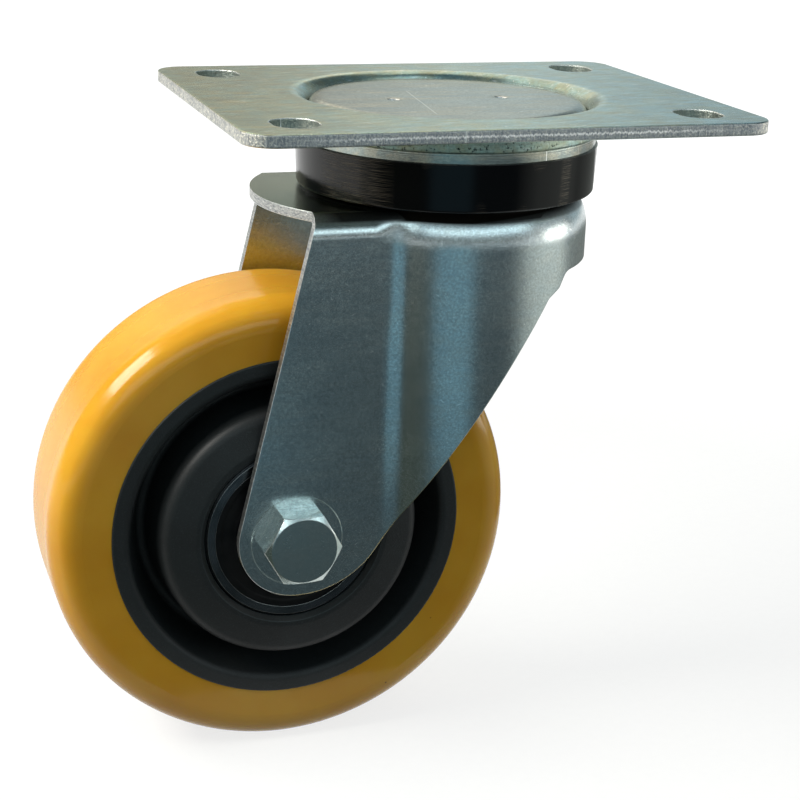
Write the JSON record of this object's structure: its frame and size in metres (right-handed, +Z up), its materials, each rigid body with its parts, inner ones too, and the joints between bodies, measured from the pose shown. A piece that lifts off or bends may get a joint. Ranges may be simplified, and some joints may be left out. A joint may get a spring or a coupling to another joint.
{
  "type": "swivel castor",
  "caption": "Top-plate swivel castor: slotted mounting plate, ball-bearing swivel, pressed steel fork, and an amber polyurethane wheel on a black core with sealed bearings.",
  "frame": {"origin": "on the swivel axis, in the plane of the plate's mounting face", "axes": "+Z up out of the mounting face along the swivel axis; the wheel trails towards -X; the axle runs along Y with the bolt's head at -Y"},
  "size_m": [0.177, 0.11, 0.1735],
  "materials": {
    "zinc_plate": "zinc plated, fine rolling grain",
    "zinc_fork": "zinc plated, drawn sheet",
    "zinc_fastener": "bright zinc plated",
    "turned_steel": "turned, zinc plated",
    "bearing_steel": "hardened and ground",
    "pressed_cage_steel": "pressed sheet",
    "seal_ring_plastic": "glossy black",
    "seal_rubber": "matt black",
    "core_nylon": "black moulded nylon",
    "tyre_polyurethane": "amber cast polyurethane, satin"
  },
  "bodies": {
    "plate": {"top_plate": "zinc_plate", "swivel_post": "turned_steel", "seal_ring": "seal_ring_plastic", "lower_race": "turned_steel", "king_washer": "zinc_fastener", "king_nut": "zinc_fastener"},
    "fork": {"fork": "zinc_fork", "axle_bolt": "zinc_fastener", "axle_washer": "zinc_fastener", "axle_nut": "zinc_fastener", "axle_sleeve": "turned_steel", "inner_spacer": "turned_steel", "bearing_spacers": "turned_steel", "head_side_inner_ring": "bearing_steel", "nut_side_inner_ring": "bearing_steel"},
    "wheel": {"tyre": "tyre_polyurethane", "wheel_core": "core_nylon", "head_side_outer_ring": "bearing_steel", "nut_side_outer_ring": "bearing_steel", "head_side_seals": "seal_rubber", "nut_side_seals": "seal_rubber"},
    "upper_ball_row": {"upper_balls": "bearing_steel"},
    "lower_ball_row": {"lower_balls": "bearing_steel"},
    "wheel_bearing_balls": {"head_side_cage": "pressed_cage_steel", "head_side_balls": "bearing_steel", "nut_side_cage": "pressed_cage_steel", "nut_side_balls": "bearing_steel"}
  },
  "joints": [
    {"name": "swivel", "type": "hinge", "parent": "plate", "child": "fork", "pos_m": [0, 0, 0], "axis": [0, 0, 1], "continuous": true},
    {"name": "wheel_spin", "type": "hinge", "parent": "fork", "child": "wheel", "pos_m": [-0.047, 0, -0.111], "axis": [0, 1, 0], "continuous": true},
    {"name": "upper_balls_turn", "type": "hinge", "parent": "plate", "child": "upper_ball_row", "pos_m": [0, 0, -0.0163], "axis": [0, 0, 1], "continuous": true},
    {"name": "lower_balls_turn", "type": "hinge", "parent": "plate", "child": "lower_ball_row", "pos_m": [0, 0, -0.02462], "axis": [0, 0, 1], "continuous": true},
    {"name": "bearing_balls_turn", "type": "hinge", "parent": "fork", "child": "wheel_bearing_balls", "pos_m": [-0.047, 0, -0.111], "axis": [0, 1, 0], "continuous": true}
  ],
  "couplings": [
    {"joint": "upper_balls_turn", "follows": "swivel", "ratio": 0.5},
    {"joint": "lower_balls_turn", "follows": "swivel", "ratio": 0.5},
    {"joint": "bearing_balls_turn", "follows": "wheel_spin", "ratio": 0.6185}
  ]
}
